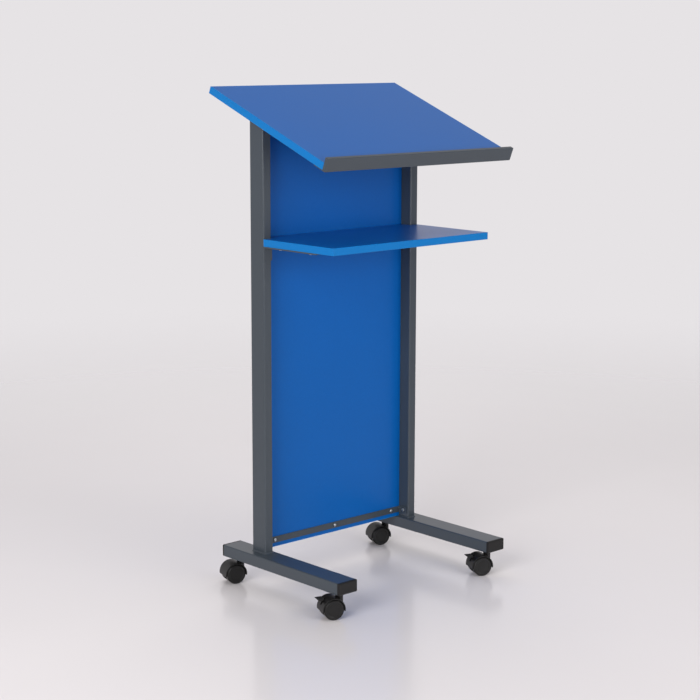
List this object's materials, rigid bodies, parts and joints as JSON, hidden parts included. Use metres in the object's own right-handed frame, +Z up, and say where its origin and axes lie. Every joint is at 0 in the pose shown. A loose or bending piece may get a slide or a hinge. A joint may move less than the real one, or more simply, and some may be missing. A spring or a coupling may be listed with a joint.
{
  "type": "presentation lectern",
  "caption": "Free-standing lectern: sloping blue reading board with a paper stop, shelf and front panel on a dark steel frame, on hooded swivel castors with foot brakes at the reader's end.",
  "frame": {"origin": "on the floor, under the middle of the footprint", "axes": "+Z up; +Y towards the audience, so the reader stands on the -Y side; +X to the reader's right"},
  "size_m": [0.6264, 0.4503, 1.25],
  "materials": {
    "anthracite_paint": "semi-gloss powder coat on steel tube and sheet",
    "blue_board": "blue melamine facing on chipboard, satin",
    "blue_edging": "blue edge strip, satin",
    "black_plastic": "moulded, fine texture",
    "castor_nylon": "moulded nylon, slight sheen",
    "zinc_plate": "bright zinc plating",
    "bright_steel": "plain drawn steel"
  },
  "bodies": {
    "frame": {"audience_left_stem": "bright_steel", "audience_right_stem": "bright_steel", "bottom_rail": "anthracite_paint", "castor_weld_nuts": "zinc_plate", "desk_screws": "zinc_plate", "front_panel": "blue_board", "front_panel_edging": "blue_edging", "left_desk_plate": "anthracite_paint", "left_foot": "anthracite_paint", "left_foot_cap_audience": "black_plastic", "left_foot_cap_user": "black_plastic", "left_shelf_bracket": "anthracite_paint", "left_upright": "anthracite_paint", "panel_screws": "zinc_plate", "paper_stop": "anthracite_paint", "paper_stop_screws": "zinc_plate", "reading_board": "blue_board", "reading_board_edging": "blue_edging", "right_desk_plate": "anthracite_paint", "right_foot": "anthracite_paint", "right_foot_cap_audience": "black_plastic", "right_foot_cap_user": "black_plastic", "right_shelf_bracket": "anthracite_paint", "right_upright": "anthracite_paint", "shelf_board": "blue_board", "shelf_board_edging": "blue_edging", "shelf_screws": "zinc_plate", "stem_clips": "bright_steel", "tab_screws": "zinc_plate", "top_rail": "anthracite_paint", "user_left_stem": "bright_steel", "user_right_stem": "bright_steel"},
    "user_left_castor": {"user_left_housing": "castor_nylon", "user_left_axle": "bright_steel", "user_left_brake_pin": "bright_steel"},
    "user_left_near_roller": {"user_left_near_wheel": "castor_nylon"},
    "user_left_far_roller": {"user_left_far_wheel": "castor_nylon"},
    "user_left_brake": {"user_left_brake_pedal": "castor_nylon"},
    "user_right_castor": {"user_right_housing": "castor_nylon", "user_right_axle": "bright_steel", "user_right_brake_pin": "bright_steel"},
    "user_right_near_roller": {"user_right_near_wheel": "castor_nylon"},
    "user_right_far_roller": {"user_right_far_wheel": "castor_nylon"},
    "user_right_brake": {"user_right_brake_pedal": "castor_nylon"},
    "audience_left_castor": {"audience_left_housing": "castor_nylon", "audience_left_axle": "bright_steel"},
    "audience_left_near_roller": {"audience_left_near_wheel": "castor_nylon"},
    "audience_left_far_roller": {"audience_left_far_wheel": "castor_nylon"},
    "audience_right_castor": {"audience_right_housing": "castor_nylon", "audience_right_axle": "bright_steel"},
    "audience_right_near_roller": {"audience_right_near_wheel": "castor_nylon"},
    "audience_right_far_roller": {"audience_right_far_wheel": "castor_nylon"}
  },
  "joints": [
    {"name": "user_left_swivel", "type": "hinge", "parent": "frame", "child": "user_left_castor", "pos_m": [-0.258, -0.191, 0.048], "axis": [0, 0, 1], "continuous": true},
    {"name": "user_left_near_spin", "type": "hinge", "parent": "user_left_castor", "child": "user_left_near_roller", "pos_m": [-0.28239, -0.19797, 0.025], "axis": [0.3746, 0.9272, 0], "continuous": true},
    {"name": "user_left_far_spin", "type": "hinge", "parent": "user_left_castor", "child": "user_left_far_roller", "pos_m": [-0.2707, -0.16904, 0.025], "axis": [0.3746, 0.9272, 0], "continuous": true},
    {"name": "user_left_brake_press", "type": "hinge", "parent": "user_left_castor", "child": "user_left_brake", "pos_m": [-0.28952, -0.17826, 0.039], "axis": [0.3746, 0.9272, 0], "range_deg": [-12, 0]},
    {"name": "user_right_swivel", "type": "hinge", "parent": "frame", "child": "user_right_castor", "pos_m": [0.258, -0.191, 0.048], "axis": [0, 0, 1], "continuous": true},
    {"name": "user_right_near_spin", "type": "hinge", "parent": "user_right_castor", "child": "user_right_near_roller", "pos_m": [0.23338, -0.19712, 0.025], "axis": [0.4067, 0.9135, 0], "continuous": true},
    {"name": "user_right_far_spin", "type": "hinge", "parent": "user_right_castor", "child": "user_right_far_roller", "pos_m": [0.24607, -0.16861, 0.025], "axis": [0.4067, 0.9135, 0], "continuous": true},
    {"name": "user_right_brake_press", "type": "hinge", "parent": "user_right_castor", "child": "user_right_brake", "pos_m": [0.22694, -0.17717, 0.039], "axis": [0.4067, 0.9135, 0], "range_deg": [-12, 0]},
    {"name": "audience_left_swivel", "type": "hinge", "parent": "frame", "child": "audience_left_castor", "pos_m": [-0.255, 0.187, 0.048], "axis": [0, 0, 1], "continuous": true},
    {"name": "audience_left_near_spin", "type": "hinge", "parent": "audience_left_castor", "child": "audience_left_near_roller", "pos_m": [-0.27869, 0.17793, 0.025], "axis": [0.2924, 0.9563, 0], "continuous": true},
    {"name": "audience_left_far_spin", "type": "hinge", "parent": "audience_left_castor", "child": "audience_left_far_roller", "pos_m": [-0.26956, 0.20777, 0.025], "axis": [0.2924, 0.9563, 0], "continuous": true},
    {"name": "audience_right_swivel", "type": "hinge", "parent": "frame", "child": "audience_right_castor", "pos_m": [0.255, 0.187, 0.048], "axis": [0, 0, 1], "continuous": true},
    {"name": "audience_right_near_spin", "type": "hinge", "parent": "audience_right_castor", "child": "audience_right_near_roller", "pos_m": [0.23061, 0.18003, 0.025], "axis": [0.3746, 0.9272, 0], "continuous": true},
    {"name": "audience_right_far_spin", "type": "hinge", "parent": "audience_right_castor", "child": "audience_right_far_roller", "pos_m": [0.2423, 0.20896, 0.025], "axis": [0.3746, 0.9272, 0], "continuous": true}
  ]
}
